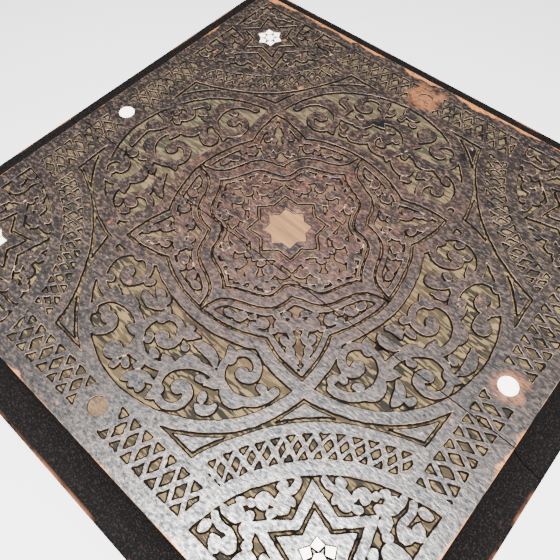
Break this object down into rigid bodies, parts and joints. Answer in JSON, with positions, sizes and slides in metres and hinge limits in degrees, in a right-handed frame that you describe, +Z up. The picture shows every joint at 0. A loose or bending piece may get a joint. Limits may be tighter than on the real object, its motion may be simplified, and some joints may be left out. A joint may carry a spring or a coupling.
{
  "type": "quran stand",
  "caption": "Low square stand with a relief-carved two-plank top, coved edge and small bone inlays, on four turned legs with aprons, keel arches and stretchers.",
  "frame": {"origin": "on the floor, under the middle of the square top", "axes": "+Z up, +X along the grain of the top's planks, -Y towards the narrow plank (the front)"},
  "size_m": [0.448, 0.448, 0.36],
  "materials": {
    "carved_wood": "dark stained, waxed, worn at the edges",
    "frame_wood": "dark stained, waxed",
    "peg_wood": "end grain, waxed",
    "bare_wood": "bare, aged",
    "bone": "polished bone",
    "screw_iron": "dull, oxidised"
  },
  "bodies": {
    "root": {"apron_back": "frame_wood", "apron_front": "frame_wood", "apron_left": "frame_wood", "apron_pegs": "peg_wood", "apron_right": "frame_wood", "batten_left": "bare_wood", "batten_right": "bare_wood", "batten_screws": "screw_iron", "bracket_back_high": "frame_wood", "bracket_back_low": "frame_wood", "bracket_front_high": "frame_wood", "bracket_front_low": "frame_wood", "bracket_left_high": "frame_wood", "bracket_left_low": "frame_wood", "bracket_right_high": "frame_wood", "bracket_right_low": "frame_wood", "disc_inlay_left": "bone", "disc_inlay_right": "bone", "flower_inlay_back_left": "bone", "flower_inlay_back_right": "bone", "flower_inlay_front_left": "bone", "flower_inlay_front_right": "bone", "glue_block_back_high": "bare_wood", "glue_block_back_low": "bare_wood", "glue_block_front_high": "bare_wood", "glue_block_front_low": "bare_wood", "glue_block_left_high": "bare_wood", "glue_block_left_low": "bare_wood", "glue_block_right_high": "bare_wood", "glue_block_right_low": "bare_wood", "leg_back_left": "frame_wood", "leg_back_right": "frame_wood", "leg_front_left": "frame_wood", "leg_front_right": "frame_wood", "plank_dowels": "peg_wood", "stretcher_back": "frame_wood", "stretcher_front": "frame_wood", "stretcher_left": "frame_wood", "stretcher_pegs": "peg_wood", "stretcher_right": "frame_wood", "top_plank_narrow": "carved_wood", "top_plank_wide": "carved_wood"}
  },
  "joints": []
}
